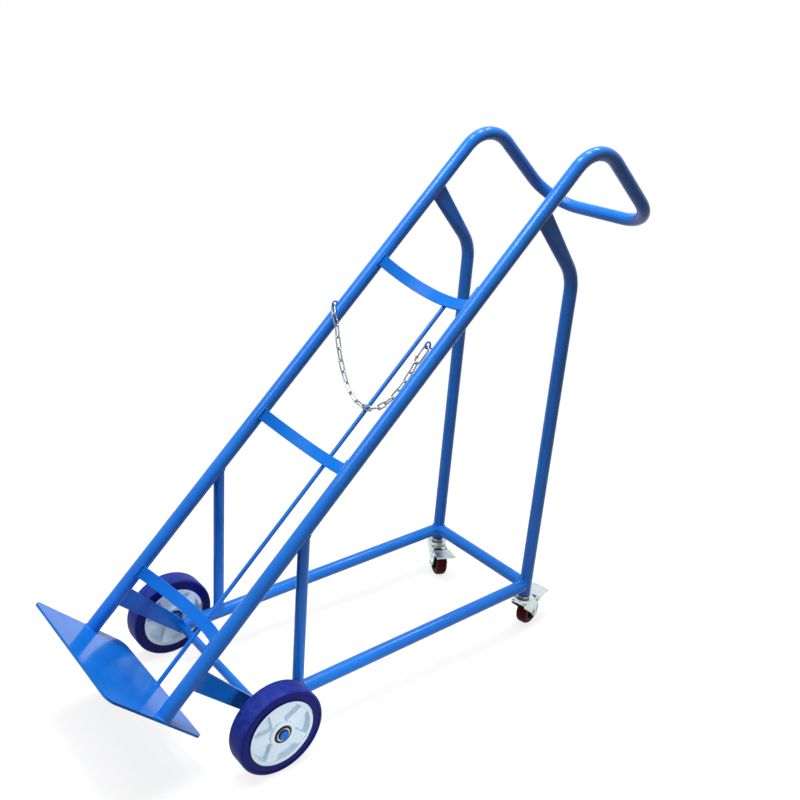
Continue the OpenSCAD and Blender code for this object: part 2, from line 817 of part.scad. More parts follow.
module caster_hub(side) {
    h = caster_w / 2 - 1;
    b = fork_in / 2 - 0.5;
    r = caster_hub_d / 2;
    bore = bolt_d / 2 + run_fit;
    color(black) caster_frame(side) translate([0, caster_trail, caster_r]) rotate([0, 90, 0])
        rotate_extrude($fn = 72) polygon([[bore, -b], [bolt_d / 2 + 4, -b], [bolt_d / 2 + 5, -5], [r - 4, -5],
            [r - 3, -h], [r, -h], [r, h], [r - 3, h], [r - 4, 5], [bolt_d / 2 + 5, 5],
            [bolt_d / 2 + 4, b], [bore, b]]);
}

module brake_pedal(side) {
    half = ear_in + pedal_t;
    wide = half + pedal_flare;
    top = 7;
    lip = 6;
    color(zinc) caster_frame(side) pedal_frame() difference() {
        union() {
            translate([-wide, 0, 0]) rotate([90, 0, 90]) linear_extrude(2 * wide) polygon([[4, top - pedal_t],
                [pedal_len, top - pedal_t], [pedal_len + lip, top + lip - pedal_t], [pedal_len + lip, top + lip],
                [pedal_len - pedal_t / 2, top], [4, top]]);
            translate([-10, shoe_y, -brake_drop]) cube([20, pedal_t, brake_drop + top - 1]);
            for (s = [-1, 1]) translate([s * (ear_in + pedal_t / 2) - pedal_t / 2, 0, 0]) rotate([90, 0, 90])
                linear_extrude(pedal_t) {
                    circle(rivet_d / 2 + 2.5);
                    polygon([[-rivet_d / 2 - 2.5, 0], [2, -rivet_d / 2 - 2], [pedal_len - 12, top - pedal_t],
                        [pedal_len - 12, top], [4, top]]);
                }
        }
        rotate([0, 90, 0]) cylinder(d = rivet_d + 2 * run_fit, h = 80, center = true);
        for (s = [-1, 1]) translate([0, 0, top - 4]) linear_extrude(lip + 8) polygon([
            [s * half, 3], [s * half, 12], [s * wide, pedal_len], [s * (wide + 5), pedal_len], [s * (wide + 5), 3]]);
    }
}

module pedal_rivets(side) {
    out = ear_in + pedal_t + 0.2;
    color(steel) caster_frame(side) translate([0, pedal_y, pedal_z]) for (s = [-90, 90]) rotate([0, s, 0]) {
        translate([0, 0, fork_in / 2]) cylinder(d = rivet_d, h = out - fork_in / 2 + 0.1);
        translate([0, 0, out]) cylinder(d1 = rivet_d + 3.5, d2 = rivet_d + 1, h = 1.6);
    }
}

module left_caster_stem() caster_stem(1);

module left_king_nut() king_nut(1);

module left_swivel_balls() swivel_balls(1);

module left_caster_fork() caster_fork(1);

module left_caster_bolt() caster_bolt(1);

module left_caster_tread() caster_tread(1);

module left_caster_hub() caster_hub(1);

module left_brake_pedal() brake_pedal(1);

module left_pedal_rivets() pedal_rivets(1);

module right_caster_stem() caster_stem(-1);

module right_king_nut() king_nut(-1);

module right_swivel_balls() swivel_balls(-1);

module right_caster_fork() caster_fork(-1);

module right_caster_bolt() caster_bolt(-1);

module right_caster_tread() caster_tread(-1);

module right_caster_hub() caster_hub(-1);

module right_brake_pedal() brake_pedal(-1);

module right_pedal_rivets() pedal_rivets(-1);

// Chain

module half_loop(r, d) {
    rotate([90, 0, 0]) rotate_extrude(angle = 180) translate([r, 0]) circle(d = d, $fn = 24);
}

module chain_link(p, q, side, extra) {
    h = (link_w - link_wire) / 2;
    straight = link_pitch + link_wire + link_play + extra - 2 * h;
    between(p, q, side) {
        for (s = [-1, 1]) translate([s * h, 0, 0]) cylinder(d = link_wire, h = straight, center = true, $fn = 24);
        for (s = [0, 1]) mirror([0, 0, s]) translate([0, 0, straight / 2]) half_loop(h, link_wire);
    }
}

module chain_links() {
    color(zinc) rail_frame() {
        second_dir = unit(hang_point(-chain_len / 2) - shoulder);
        first_side = [cos(first_link_roll), -sin(first_link_roll), 0];
        chain_link(link_start, shoulder + first_dir * corner_play, first_side, corner_play);
        chain_link(shoulder - second_dir * corner_play, hang_point(-chain_len / 2), hang_normal, corner_play);
        for (k = [0 : link_n - 1]) {
            p = hang_point(-chain_len / 2 + k * link_pitch);
            q = hang_point(-chain_len / 2 + (k + 1) * link_pitch);
            chain_link(p, q, k % 2 == 0 ? cross(hang_normal, q - p) : hang_normal, 0);
        }
    }
}

module eye_torus(p) {
    translate(p) rotate([0, 90, 0]) rotate_extrude() translate([eye_ring_d / 2, 0]) circle(d = eye_wire, $fn = 24);
}

module chain_eyes() {
    root = eye_left + [0, eye_ring_d / 2, 0];
    color(paint) rail_frame() difference() {
        union() {
            eye_torus(eye_right);
            eye_torus(eye_left);
            between(root, [rail_x, 0, eye_r], [0, 0, 1])
                cylinder(d = eye_wire, h = norm([rail_x, 0, eye_r] - root), center = true, $fn = 24);
        }
        rail_bars(tube_d + 2 * weld_gap);
    }
}

// Local x points towards the rail, local z up the hook
module hook_frame() {
    shift = hook_axis * (eye_wire + link_play) / 2;
    rail_frame() between(hook_low, hook_top + shift, [1, 0, 0]) children();
}

module snap_hook() {
    h = hook_half;
    s = hook_straight / 2;
    color(zinc) hook_frame() difference() {
        union() {
            translate([h, 0, -s]) cylinder(d = hook_wire, h = 2 * s, $fn = 24);
            translate([0, 0, s]) half_loop(h, hook_wire);
            mirror([0, 0, 1]) translate([0, 0, s]) half_loop(h, hook_wire);
            translate([-h, 0, gate_top + 0.3]) cylinder(d = hook_wire, h = s - gate_top - 0.3, $fn = 24);
            translate([-h, 0, -s]) cylinder(d = hook_wire, h = 1, $fn = 24);
            translate([-h - 1.2, 1.4, -s]) cube([2.4, 1.2, gate_low + s]);
            translate([-h - 1.2, -2.6, -s]) cube([2.4, 1.2, gate_low + s]);
            for (y = [-2, 2]) translate([-h, y, gate_low]) rotate([90, 0, 0])
                cylinder(d = 5, h = 1.2, center = true, $fn = 24);
        }
        translate([-h, 0, gate_low]) rotate([90, 0, 0])
            cylinder(d = gate_pin_d + 0.04, h = 10, center = true, $fn = 24);
        translate([-h, 0, gate_low]) rotate([90, 0, 0]) cylinder(d = 5.4, h = 2.8, center = true, $fn = 24);
    }
}

module hook_gate() {
    color(zinc) hook_frame() difference() {
        translate([-hook_half, 0, 0]) {
            translate([0, 0, gate_low]) cylinder(d = gate_d - 0.8, h = gate_top - gate_low, $fn = 24);
            translate([0, 0, gate_low + 3.2]) cylinder(d = gate_d, h = gate_top - gate_low - 3.2, $fn = 24);
            translate([0, 0, gate_low]) rotate([90, 0, 0]) cylinder(d = 4.6, h = 2.2, center = true, $fn = 24);
        }
        translate([-hook_half, 0, gate_low]) rotate([90, 0, 0])
            cylinder(d = gate_pin_d + 2 * run_fit, h = 10, center = true, $fn = 24);
    }
}

module hook_pin() {
    color(steel) hook_frame() translate([-hook_half, 0, gate_low]) rotate([90, 0, 0])
        cylinder(d = gate_pin_d, h = 5.6, center = true, $fn = 24);
}

frame_tube();
toe_plate();
upper_strap();
middle_strap();
lower_strap();
centre_rod();
left_axle_arm();
right_axle_arm();
axle_bar();
left_front_strut();
right_front_strut();
left_base_tube();
right_base_tube();
rear_cross_tube();
left_rear_leg();
right_rear_leg();
left_leg_plug();
right_leg_plug();
axle_collars();
axle_washers();
axle_circlips();
left_wheel_tyre();
left_wheel_hub();
left_bearing_outer_rings();
left_bearing_balls();
left_bearing_inner_rings();
left_bearing_spacer();
right_wheel_tyre();
right_wheel_hub();
right_bearing_outer_rings();
right_bearing_balls();
right_bearing_inner_rings();
right_bearing_spacer();
left_caster_stem();
left_king_nut();
left_swivel_balls();
left_caster_fork();
left_caster_bolt();
left_caster_tread();
left_caster_hub();
left_brake_pedal();
left_pedal_rivets();
right_caster_stem();
right_king_nut();
right_swivel_balls();
right_caster_fork();
right_caster_bolt();
right_caster_tread();
right_caster_hub();
right_brake_pedal();
right_pedal_rivets();
chain_eyes();
chain_links();
snap_hook();
hook_gate();
hook_pin();
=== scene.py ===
# %% [markdown]
# # A gas cylinder trolley
# The trolley is a leaning cradle of bent blue tube on two big wheels and two braked casters.
# Its solids come from the CAD model, each piece in its final place, so nothing is fitted here.
# This lesson gives the solids their finishes, adds the welds that hold the frame together,
# and sets up the camera and the studio.

# %% Load the solids
import math

import bmesh
import bpy
import numpy as np
from mathutils import Matrix, Vector


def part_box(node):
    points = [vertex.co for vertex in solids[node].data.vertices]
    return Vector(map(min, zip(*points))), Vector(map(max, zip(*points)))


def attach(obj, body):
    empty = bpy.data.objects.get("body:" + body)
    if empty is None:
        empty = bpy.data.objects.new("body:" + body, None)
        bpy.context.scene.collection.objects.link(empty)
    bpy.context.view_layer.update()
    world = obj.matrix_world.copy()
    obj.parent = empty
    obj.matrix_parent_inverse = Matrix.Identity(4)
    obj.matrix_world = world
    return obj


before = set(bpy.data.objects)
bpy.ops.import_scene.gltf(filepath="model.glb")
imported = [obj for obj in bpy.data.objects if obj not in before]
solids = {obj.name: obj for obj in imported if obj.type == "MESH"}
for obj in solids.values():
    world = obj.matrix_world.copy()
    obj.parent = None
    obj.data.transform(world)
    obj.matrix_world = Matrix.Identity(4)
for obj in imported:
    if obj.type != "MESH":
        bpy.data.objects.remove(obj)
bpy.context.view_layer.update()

# %% [markdown]
# ## Sizes that the looks share
# The rails lean back, so most of the trolley is easiest to describe in the rails' own directions:
# across, off the rails towards the back, and up along the rails. One helper turns such a place
# into a point of the scene. The axle and the rear tube are measured on the solids themselves.

# %% Directions of the leaning rails
LEAN = math.radians(44)
TUBE_R = 0.016
RAIL_X = 0.175
AXLE_OFF, AXLE_UP = 0.212, 0.095
UP_RAIL = Vector((0, math.sin(LEAN), math.cos(LEAN)))
OFF_RAIL = Vector((0, math.cos(LEAN), -math.sin(LEAN)))


def middle_of(node):
    low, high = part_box(node)
    return (low + high) / 2


AXLE = middle_of("axle_bar")
CROSS = middle_of("rear_cross_tube")
FOOT = AXLE - OFF_RAIL * AXLE_OFF - UP_RAIL * AXLE_UP


def rail_point(across, off, up):
    return Vector((across, FOOT.y, FOOT.z)) + OFF_RAIL * off + UP_RAIL * up


print("axle at", tuple(round(v, 4) for v in AXLE), "rail foot at", tuple(round(v, 4) for v in FOOT))

# %% [markdown]
# ## The camera
# The photograph looks down on the trolley from its front left, with a slight tilt of the frame.
# A camera could be aimed with a constraint, but a matrix made of its three directions keeps the
# tilt exact: the right and up directions are turned about the line of sight by the roll.

# %% Camera at the photograph's angle
SIGHT, HEIGHT, ROLL = math.radians(48.7), math.radians(22.8), math.radians(5.0)
CAMERA_PLACE = (1.5260, -1.2337, 1.4451)
SENSOR_MM, LENS_MM = 36, 41.71
SHIFT_X, SHIFT_Y = -0.0070, 0.0298
VIEW_END = 200


def placed(place, right, up, back):
    """Matrix of an object at place whose own axes point right, up and back."""
    return Matrix.Translation(place) @ Matrix((right, up, back)).transposed().to_4x4()


back = Vector((math.sin(SIGHT) * math.cos(HEIGHT), -math.cos(SIGHT) * math.cos(HEIGHT), math.sin(HEIGHT)))
level = Vector((math.cos(SIGHT), math.sin(SIGHT), 0))
upright = back.cross(level)
right = level * math.cos(ROLL) + upright * math.sin(ROLL)
top = upright * math.cos(ROLL) - level * math.sin(ROLL)

lens = bpy.data.cameras.new("photo_camera")
lens.sensor_width, lens.lens = SENSOR_MM, LENS_MM
lens.shift_x, lens.shift_y = SHIFT_X, SHIFT_Y
lens.clip_end = VIEW_END
camera = bpy.data.objects.new("photo_camera", lens)
camera.matrix_world = placed(CAMERA_PLACE, right, top, back)
bpy.context.scene.collection.objects.link(camera)
bpy.context.scene.camera = camera
print("camera stands", round((camera.matrix_world.translation - AXLE).length, 2), "m from the axle")

# %% [markdown]
# ## The studio
# The photograph shows the trolley on plain white. A very bright floor would throw light up under
# the tubes, whose undersides are clearly darker in the photograph. So the floor is a grey that
# takes the shadow, with a glow that only the camera and reflections see. Far from the trolley the
# lamps no longer reach the floor, so there the glow alone takes over, and no horizon shows. The
# same switch, the Light Path node, makes the world white to the camera and softer as a lamp. World
# and floor are both node trees, so two helpers come first: one adds a node, one wires nodes up.

# %% White background that stays a gentle lamp
bpy.context.scene.view_settings.view_transform = "Standard"
SKY_LIGHT = 0.14


def add(tree, kind, **settings):
    node = tree.nodes.new(kind)
    for label, value in settings.items():
        setattr(node, label, value)
    return node


def wire(tree, *links):
    for start, end in links:
        tree.links.new(start, end)


def seen_directly(tree):
    """1 for the camera, reflections and see-through rays, 0 for light that bounces."""
    path = add(tree, "ShaderNodeLightPath")
    both = add(tree, "ShaderNodeMath", operation="MAXIMUM")
    seen = add(tree, "ShaderNodeMath", operation="MAXIMUM")
    wire(tree, (path.outputs["Is Camera Ray"], both.inputs[0]),
         (path.outputs["Is Glossy Ray"], both.inputs[1]), (both.outputs[0], seen.inputs[0]),
         (path.outputs["Is Transmission Ray"], seen.inputs[1]))
    return seen.outputs[0]


sky = bpy.data.worlds.new("white_studio")
bpy.context.scene.world = sky
sky.use_nodes = True
backdrop = sky.node_tree.nodes["Background"]
backdrop.inputs["Color"].default_value = (1, 1, 1, 1)
strength = add(sky.node_tree, "ShaderNodeMapRange")
strength.inputs["To Min"].default_value = SKY_LIGHT
strength.inputs["To Max"].default_value = 1.0
wire(sky.node_tree, (seen_directly(sky.node_tree), strength.inputs["Value"]),
     (strength.outputs["Result"], backdrop.inputs["Strength"]))
print("world: white to the camera,", SKY_LIGHT, "as a lamp")

# %% Floor that keeps the shadow
FLOOR_HALF = 40
FLOOR_GREY, FLOOR_GLOW, FLOOR_NEAR, FLOOR_FAR = 0.26, 0.80, 0.9, 2.4
corners = [(x * FLOOR_HALF, y * FLOOR_HALF, 0) for x, y in ((-1, -1), (1, -1), (1, 1), (-1, 1))]
floor_mesh = bpy.data.meshes.new("studio_floor")
floor_mesh.from_pydata(corners, [], [(0, 1, 2, 3)])
floor = bpy.data.objects.new("studio_floor", floor_mesh)
bpy.context.scene.collection.objects.link(floor)
floor_paint = bpy.data.materials.new("pale_floor")
floor_paint.use_nodes = True
tree = floor_paint.node_tree
tree.nodes.remove(tree.nodes["Principled BSDF"])
spot = add(tree, "ShaderNodeTexCoord")
distance = add(tree, "ShaderNodeVectorMath", operation="LENGTH")
far = add(tree, "ShaderNodeMapRange", interpolation_type="SMOOTHSTEP")
far.inputs["From Min"].default_value, far.inputs["From Max"].default_value = FLOOR_NEAR, FLOOR_FAR
matt = add(tree, "ShaderNodeBsdfDiffuse")
matt.inputs["Color"].default_value = (FLOOR_GREY, FLOOR_GREY, FLOOR_GREY, 1)


def camera_glow(amount):
    """Light that only direct views and reflections see."""
    share = add(tree, "ShaderNodeMath", operation="MULTIPLY")
    share.inputs[1].default_value = amount
    light = add(tree, "ShaderNodeEmission")
    wire(tree, (seen_directly(tree), share.inputs[0]), (share.outputs[0], light.inputs["Strength"]))
    return light.outputs[0]


near_floor = add(tree, "ShaderNodeAddShader")
whole_floor = add(tree, "ShaderNodeMixShader")
wire(tree, (spot.outputs["Object"], distance.inputs[0]), (distance.outputs["Value"], far.inputs["Value"]),
     (matt.outputs[0], near_floor.inputs[0]), (camera_glow(FLOOR_GLOW), near_floor.inputs[1]),
     (far.outputs["Result"], whole_floor.inputs[0]), (near_floor.outputs[0], whole_floor.inputs[1]),
     (camera_glow(1.0), whole_floor.inputs[2]),
     (whole_floor.outputs[0], tree.nodes["Material Output"].inputs["Surface"]))
floor_mesh.materials.append(floor_paint)
print("floor grey", FLOOR_GREY, "with a glow of", FLOOR_GLOW, "and white beyond", FLOOR_FAR, "m")

# %% [markdown]
# The bright streaks on the tubes and the window shapes on the bends are lamps mirrored in gloss
# paint, so a lamp belongs where the mirrored line of sight goes. Followed from the handle bends,
# that line sweeps over the ceiling from front to back. A row of four boxes stands there, narrow
# along the row and wide across it, and shows as four windows on each bend. A large box faces the
# front of the rails and lies nearly parallel to them, so that its streak runs along most of each
# straight tube. A weak box softens the left of the picture. The last two stand low on its right,
# with a grid in front that keeps the light of one on the lower frame and of the other on the near
# wheel. They are small, so they are left out of reflections, where they would draw thin stray lines
# on the tubes.

# %% Soft boxes
def soft_box(name, place, aim, size, watts, beam=180, mirrored=True):
    """Area lamp aimed at a point: size across and up in metres, beam in degrees."""
    lamp = bpy.data.lights.new(name, "AREA")
    lamp.shape = "RECTANGLE"
    lamp.size, lamp.size_y = size
    lamp.energy = watts
    lamp.spread = math.radians(beam)
    behind = (Vector(place) - Vector(aim)).normalized()
    across = (Vector((1, 0, 0)) - behind * behind.x).normalized()
    box = bpy.data.objects.new(name, lamp)
    box.matrix_world = placed(place, across, behind.cross(across), behind)
    box.visible_glossy = mirrored
    bpy.context.scene.collection.objects.link(box)


BEND_UP, RAIL_MIDDLE_UP = 1.5, 0.76
ROW_COUNT, ROW_STEP, ROW_BEHIND, ROW_AIM = 4, 0.9, 0.2, 0.4
ROW_RISE = Vector((-0.12, 0, 3.05))
row_middle = rail_point(0, 0, BEND_UP).y + ROW_BEHIND
for number in range(ROW_COUNT):
    spot_below = Vector((0, row_middle + ROW_STEP * (number - (ROW_COUNT - 1) / 2), ROW_AIM))
    soft_box("ceiling_box_%d" % number, spot_below + ROW_RISE, spot_below, size=(1.4, 0.30), watts=30)
rail_middle = rail_point(0, 0, RAIL_MIDDLE_UP)
before_rails = rail_middle - OFF_RAIL * 2.5 + UP_RAIL * 0.70 + Vector((-0.1, 0, 0))
soft_box("rail_box", before_rails, rail_middle, size=(1.5, 1.5), watts=48)
soft_box("left_box", (-1.9, -2.3, 2.3), (0, -0.1, 0.6), size=(1.1, 1.4), watts=3)
soft_box("low_box", (2.5, 0.35, 0.8), (0.1, -0.08, 0.10), size=(0.5, 0.5), watts=0.9, beam=29,
         mirrored=False)
near_wheel = sum(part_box("left_wheel_hub"), Vector()) / 2
soft_box("wheel_box", (2.6, -0.9, 0.7), near_wheel, size=(0.3, 0.3), watts=0.14, beam=12, mirrored=False)
print("eight soft boxes, the ceiling row over y =", round(row_middle, 2))

# %% [markdown]
# ## Smooth shading for the solids
# A CAD solid arrives as loose triangles, so every facet of a tube would show. Its mesh has to
# stay as it is, but a modifier may work on top of it. A small Geometry Nodes tree joins the
# triangles and shades them smooth, except across edges sharper than a set angle.

# %% Tree that smooths all but the sharp edges
JOIN_DISTANCE, SHARP_ANGLE = 0.00001, math.radians(28)


def new_tree(name, inputs):
    tree = bpy.data.node_groups.new(name, "GeometryNodeTree")
    tree.interface.new_socket("Geometry", in_out="INPUT", socket_type="NodeSocketGeometry")
    tree.interface.new_socket("Geometry", in_out="OUTPUT", socket_type="NodeSocketGeometry")
    for label, kind, value in inputs:
        socket = tree.interface.new_socket(label, in_out="INPUT", socket_type=kind)
        if value is not None:
            socket.default_value = value
    return tree, tree.nodes.new("NodeGroupInput"), tree.nodes.new("NodeGroupOutput")


def set_input(modifier, label, value):
    for item in modifier.node_group.interface.items_tree:
        if item.item_type == "SOCKET" and item.in_out == "INPUT" and item.name == label:
            modifier[item.identifier] = value


smooth_tree, source, result = new_tree("smooth_but_sharp_edges", [
    ("Join Distance", "NodeSocketFloat", JOIN_DISTANCE), ("Sharp Angle", "NodeSocketFloat", SHARP_ANGLE)])
join = add(smooth_tree, "GeometryNodeMergeByDistance")
angle = add(smooth_tree, "GeometryNodeInputMeshEdgeAngle")
flat_enough = add(smooth_tree, "FunctionNodeCompare", data_type="FLOAT", operation="LESS_THAN")
shade_faces = add(smooth_tree, "GeometryNodeSetShadeSmooth")
shade_edges = add(smooth_tree, "GeometryNodeSetShadeSmooth", domain="EDGE")
wire(smooth_tree, (source.outputs["Geometry"], join.inputs["Geometry"]),
     (source.outputs["Join Distance"], join.inputs["Distance"]),
     (join.outputs["Geometry"], shade_faces.inputs["Geometry"]),
     (shade_faces.outputs["Geometry"], shade_edges.inputs["Geometry"]),
     (angle.outputs["Unsigned Angle"], flat_enough.inputs[0]),
     (source.outputs["Sharp Angle"], flat_enough.inputs[1]),
     (flat_enough.outputs["Result"], shade_edges.inputs["Shade Smooth"]),
     (shade_edges.outputs["Geometry"], result.inputs["Geometry"]))
for solid in solids.values():
    solid.modifiers.new("smooth_but_sharp_edges", "NODES").node_group = smooth_tree
print("smooth shading on", len(solids), "solids")

# %% [markdown]
# ## A bench for mixing finishes
# Every finish below is one Principled shader fed by a few patterns. The patterns read Object
# coordinates, which are metres on the piece itself, so a grain keeps its real size and travels
# with the piece when a joint moves. A small helper keeps each recipe short.

# %% Finish helper
class Finish:
    """One material, and the patterns that feed its Principled shader."""

    def __init__(self, name):
        self.material = bpy.data.materials.new(name)
        self.material.use_nodes = True
        self.tree = self.material.node_tree
        self.shader = self.tree.nodes["Principled BSDF"]
        self.place = self.tree.nodes.new("ShaderNodeTexCoord").outputs["Object"]

    def put(self, socket, value):
        if isinstance(value, bpy.types.NodeSocket):
            self.tree.links.new(value, socket)
        elif isinstance(value, tuple) and len(value) == 3 and socket.type == "RGBA":
            socket.default_value = (*value, 1)
        else:
            socket.default_value = value

    def set(self, **values):
        for label, value in values.items():
            self.put(self.shader.inputs[label.replace("_", " ")], value)

    def move(self, location=(0, 0, 0), turn=(0, 0, 0), scale=(1, 1, 1), kind="POINT", of=None):
        node = add(self.tree, "ShaderNodeMapping", vector_type=kind)
        self.put(node.inputs["Vector"], of or self.place)
        node.inputs["Location"].default_value = location
        node.inputs["Rotation"].default_value = turn
        node.inputs["Scale"].default_value = scale
        return node.outputs[0]

    def noise(self, per_metre, detail, of=None):
        node = add(self.tree, "ShaderNodeTexNoise")
        self.put(node.inputs["Vector"], of or self.place)
        node.inputs["Scale"].default_value = per_metre
        node.inputs["Detail"].default_value = detail
        return node.outputs["Fac"]

    def cells(self, per_metre):
        node = add(self.tree, "ShaderNodeTexVoronoi")
        self.put(node.inputs["Vector"], self.place)
        node.inputs["Scale"].default_value = per_metre
        return node.outputs["Color"]

    def math(self, operation, a, b=0.0):
        node = add(self.tree, "ShaderNodeMath", operation=operation)
        self.put(node.inputs[0], a)
        self.put(node.inputs[1], b)
        return node.outputs[0]

    def spread(self, value, low, high, start, end):
        """Value from low to high becomes start to end, held outside."""
        node = add(self.tree, "ShaderNodeMapRange")
        self.put(node.inputs["Value"], value)
        for label, number in zip(("From Min", "From Max", "To Min", "To Max"), (low, high, start, end)):
            node.inputs[label].default_value = number
        return node.outputs["Result"]

    def blend(self, share, first, second):
        node = add(self.tree, "ShaderNodeMix", data_type="RGBA")
        self.put(node.inputs[0], share)
        self.put(node.inputs[6], first)
        self.put(node.inputs[7], second)
        return node.outputs[2]

    def axis(self, number, of=None):
        node = add(self.tree, "ShaderNodeSeparateXYZ")
        self.put(node.inputs[0], of or self.place)
        return node.outputs[number]

    def relief(self, height, depth, strength, under=None):
        node = add(self.tree, "ShaderNodeBump")
        self.put(node.inputs["Height"], height)
        node.inputs["Distance"].default_value = depth
        node.inputs["Strength"].default_value = strength
        if under is not None:
            self.put(node.inputs["Normal"], under)
        return node.outputs["Normal"]


print("finish helper ready")

# %% [markdown]
# ## Blue powder coat
# The frame is sprayed with powder and baked. The coat is glossy, with the faint dimples called
# orange peel about five millimetres apart, a little uneven in tone, and dulled in patches by hands
# and dust. Dimples in the mesh would cost millions of faces, so a bump pattern makes them.

# %% Gloss blue paint
BLUE_DEEP, BLUE_FULL = (0.0050, 0.140, 0.58), (0.0070, 0.168, 0.645)


def blue_coat(name):
    paint = Finish(name)
    tone = paint.spread(paint.noise(7, 4), 0.35, 0.65, 0, 1)
    dull = paint.spread(paint.noise(38, 5), 0.48, 0.72, 0, 1)
    colour = paint.blend(tone, BLUE_DEEP, BLUE_FULL)
    peel = paint.relief(paint.noise(210, 1.5), 0.00003, 0.10)
    paint.set(Base_Color=colour, Roughness=paint.spread(dull, 0, 1, 0.24, 0.36), Normal=peel,
              Specular_IOR_Level=0.05, Coat_Weight=0.38, Coat_Roughness=0.18)
    return paint, colour, dull, peel


tube_paint = blue_coat("gloss_blue_paint")[0].material
print("made", tube_paint.name)

# %% [markdown]
# The toe plate is flat and smooth, so it mirrors the rails and the sky faintly, while the straps are
# rubbed dull by the cylinders that lean on them. Both carry fine scratches in the direction of
# sliding, and here and there the front edge of the plate is chipped. The scratches are one noise
# pattern pulled long, thinned by a second, coarser one. They dull the gloss and pale the blue.

# %% Scratched blue paint for the plate and the straps
PLATE_EDGE, CHIP_DEPTH = -0.155, 0.003
SCRATCH_PALE, BARE_STEEL = (0.05, 0.20, 0.64), (0.20, 0.21, 0.23)


def scratched_coat(name, stretch, gloss, blur, chipped_edge=None):
    paint, colour, dull, peel = blue_coat(name)
    local = paint.move((0, FOOT.y, FOOT.z), (-LEAN, 0, 0), kind="TEXTURE")
    drag = paint.noise(1, 4, paint.move(scale=stretch, of=local))
    patch = paint.spread(paint.noise(21, 3), 0.54, 0.70, 0, 1)
    marks = paint.math("MULTIPLY", paint.spread(drag, 0.66, 0.74, 0, 1), patch)
    worn = paint.blend(paint.math("MULTIPLY", marks, 0.35), colour, SCRATCH_PALE)
    rough = paint.spread(paint.math("MAXIMUM", dull, marks), 0, 1, blur, blur + 0.12)
    paint.set(Base_Color=worn, Roughness=rough, Normal=paint.relief(marks, -0.00003, 0.5, peel),
              Coat_Weight=gloss, Coat_Roughness=blur / 2)
    if chipped_edge is not None:
        near = paint.spread(paint.axis(1, local), chipped_edge, chipped_edge + CHIP_DEPTH, 1, 0)
        chips = paint.spread(paint.math("MULTIPLY", near, paint.noise(85, 3)), 0.64, 0.67, 0, 1)
        paint.set(Base_Color=paint.blend(chips, worn, BARE_STEEL),
                  Metallic=paint.math("MULTIPLY", chips, 0.7))
    return paint.material


plate_paint = scratched_coat("scratched_plate_paint", (420, 9, 420), gloss=0.07, blur=0.14,
                             chipped_edge=PLATE_EDGE)
strap_paint = scratched_coat("scratched_strap_paint", (30, 30, 520), gloss=0.09, blur=0.50)
print("made", plate_paint.name, "and", strap_paint.name)

# %% [markdown]
# ## Plated and bare steel
# Caster forks, stems and bolts are zinc plated: a bluish grey metal with a mild crystal pattern.
# The chain is plated too, but darker from handling. Balls, inner rings, spacers, rivets and the
# hook's pin are ground steel, and circlips and the outer rings with their shields are blackened.

# %% Zinc, ground steel and blackened steel
def plated(name, light, dark, smooth, grain):
    metal = Finish(name)
    crystal = metal.axis(0, metal.cells(grain))
    grime = metal.spread(metal.noise(48, 5), 0.50, 0.74, 0, 1)
    tone = metal.blend(metal.math("MULTIPLY", crystal, 0.75), light, dark)
    stain = tuple(c * 0.42 for c in dark)
    uneven = metal.math("ADD", grime, metal.math("MULTIPLY", crystal, 0.4))
    metal.set(Base_Color=metal.blend(metal.math("MULTIPLY", grime, 0.45), tone, stain), Metallic=1.0,
              Normal=metal.relief(metal.noise(900, 2), 0.00005, 0.35),
              Roughness=metal.spread(uneven, 0, 1.4, smooth, smooth + 0.22))
    return metal.material


fork_zinc = plated("zinc_plate", (0.66, 0.74, 0.74), (0.46, 0.53, 0.54), smooth=0.27, grain=260)
chain_zinc = plated("chain_zinc_plate", (0.40, 0.43, 0.45), (0.16, 0.18, 0.20), smooth=0.22, grain=420)
ground_steel = plated("ground_steel", (0.58, 0.59, 0.60), (0.45, 0.46, 0.47), smooth=0.18, grain=900)
black_steel = plated("blackened_steel", (0.040, 0.040, 0.043), (0.022, 0.022, 0.025), smooth=0.34, grain=500)
print("made", fork_zinc.name, chain_zinc.name, ground_steel.name, black_steel.name)

# %% [markdown]
# ## Polyurethane, rubber and moulded plastic
# The big tyres are cast polyurethane in dark indigo: waxy and glossy on the flanks, dull and
# dusty where they roll, where a paler, brighter blue is also painted on to stand for the light
# on the tread. The tread is found by its distance from the axle, which a length of the coordinates
# across the axle gives, so the band of dust and painted light follows the tyre all the way round.

# %% Indigo tyre
TREAD_INNER, TREAD_OUTER = 0.0955, 0.0985


def round_the_axle(finish, centre):
    """Distance from an axle that runs across the trolley."""
    flat = finish.move((0, -centre.y, -centre.z))
    squash = finish.move(scale=(0, 1, 1), of=flat)
    node = add(finish.tree, "ShaderNodeVectorMath", operation="LENGTH")
    finish.put(node.inputs[0], squash)
    return node.outputs["Value"]


tyre = Finish("indigo_polyurethane")
tread = tyre.spread(round_the_axle(tyre, AXLE), TREAD_INNER, TREAD_OUTER, 0, 1)
# dust and painted light: the rolling face is painted a paler, brighter blue
tread_dust_and_painted_light = tyre.math("MULTIPLY", tread, tyre.spread(tyre.noise(70, 6), 0.38, 0.66, 0.35, 0.75))
cloud = tyre.spread(tyre.noise(16, 4), 0.35, 0.68, 0, 1)
tyre_tone = tyre.blend(cloud, (0.0035, 0.0065, 0.115), (0.0048, 0.0092, 0.160))
tyre.set(Specular_IOR_Level=0.10, Base_Color=tyre.blend(tread_dust_and_painted_light, tyre_tone, (0.024, 0.050, 0.340)),
         Roughness=tyre.spread(tyre.math("ADD", tread_dust_and_painted_light, tyre.math("MULTIPLY", cloud, 0.3)), 0, 1, 0.30, 0.62),
         Normal=tyre.relief(tyre.noise(620, 3), 0.00010, 0.5))
print("made", tyre.material.name)
